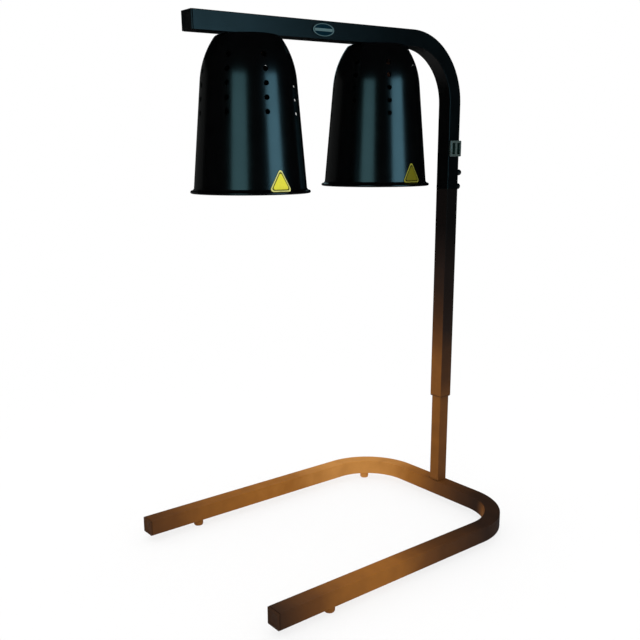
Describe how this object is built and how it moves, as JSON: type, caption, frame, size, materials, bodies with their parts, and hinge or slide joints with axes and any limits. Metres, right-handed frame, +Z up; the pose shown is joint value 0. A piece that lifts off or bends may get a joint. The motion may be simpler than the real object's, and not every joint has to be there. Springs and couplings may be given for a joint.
{
  "type": "heat lamp warmer",
  "caption": "Free-standing food warmer with two domed lamp shades hung under a bent square-tube arm on a U-shaped tube base.",
  "frame": {"origin": "on the surface it stands on, under the centre of the whole object's bounding box", "axes": "+Z up; the base legs and the arm point to -Y, the post stands at +Y; the switch and the badge are on the +X side"},
  "size_m": [0.379, 0.529, 0.8053],
  "materials": {
    "frame_paint": "satin black powder coat that reads warm brown over the base and lower post",
    "black_paint": "satin black powder coat",
    "black_plastic": "matt black moulded plastic",
    "rocker_plastic": "gloss black moulded plastic",
    "rubber": "matt black rubber",
    "zinc_steel": "bright zinc plate",
    "lamp_cap_brass": "bright",
    "lamp_glass": "red coated glass, glossy",
    "ceramic": "matt white steatite",
    "label_yellow": "satin printed film",
    "badge_grey": "brushed plate, blank",
    "boot_grey": "translucent grey flexible cover",
    "wire_sleeve": "woven glass-fibre sleeve"
  },
  "bodies": {
    "stand": {"base_frame": "frame_paint", "inner_post": "frame_paint", "leg_end_plug_left": "black_plastic", "leg_end_plug_right": "black_plastic", "inner_post_guide": "black_plastic", "foot_front_left": "rubber", "foot_front_right": "rubber", "foot_rear_left": "rubber", "foot_rear_right": "rubber", "foot_screw_front_left": "zinc_steel", "foot_screw_front_right": "zinc_steel", "foot_screw_rear_left": "zinc_steel", "foot_screw_rear_right": "zinc_steel", "post_threaded_plug": "zinc_steel", "post_base_bolt": "zinc_steel", "post_base_washer": "zinc_steel"},
    "lamp_head": {"outer_post": "frame_paint", "arm_tube": "black_paint", "joint_collar": "black_paint", "front_shade": "black_paint", "rear_shade": "black_paint", "arm_end_plug": "black_plastic", "outer_post_bush": "black_plastic", "cord_gland": "black_plastic", "gland_nut": "black_plastic", "switch_housing": "black_plastic", "switch_feed_wire": "black_plastic", "joint_spigot": "zinc_steel", "height_set_screw": "zinc_steel", "front_stem": "zinc_steel", "rear_stem": "zinc_steel", "front_stem_nut_upper": "zinc_steel", "rear_stem_nut_upper": "zinc_steel", "front_stem_nut_lower": "zinc_steel", "rear_stem_nut_lower": "zinc_steel", "front_lamp_holder": "ceramic", "rear_lamp_holder": "ceramic", "front_heat_label": "label_yellow", "rear_heat_label": "label_yellow", "arm_badge": "badge_grey", "switch_boot": "boot_grey", "front_lamp_wire": "wire_sleeve", "rear_lamp_wire": "wire_sleeve"},
    "thumb_screw": {"joint_thumb_screw": "black_plastic"},
    "power_rocker": {"switch_rocker": "rocker_plastic"},
    "front_bulb": {"front_bulb_cap": "lamp_cap_brass", "front_bulb_glass": "lamp_glass"},
    "rear_bulb": {"rear_bulb_cap": "lamp_cap_brass", "rear_bulb_glass": "lamp_glass"}
  },
  "joints": [
    {"name": "height_slide", "type": "slide", "parent": "stand", "child": "lamp_head", "axis": [0, 0, 1], "range_m": [-0.14, 0.08]},
    {"name": "thumb_screw_turn", "type": "hinge", "parent": "lamp_head", "child": "thumb_screw", "pos_m": [0, 0.2345, 0.5639], "axis": [0, 1, 0], "range_deg": [-720, 0]},
    {"name": "power_switch_tilt", "type": "hinge", "parent": "lamp_head", "child": "power_rocker", "pos_m": [0.013, 0.2345, 0.6263], "axis": [0, 1, 0], "range_deg": [-14, 0]},
    {"name": "front_bulb_turn", "type": "hinge", "parent": "lamp_head", "child": "front_bulb", "pos_m": [0, -0.1657, 0.7], "axis": [0, 0, 1], "range_deg": [0, 1080]},
    {"name": "rear_bulb_turn", "type": "hinge", "parent": "lamp_head", "child": "rear_bulb", "pos_m": [0, 0.0691, 0.7], "axis": [0, 0, 1], "range_deg": [0, 1080]}
  ]
}
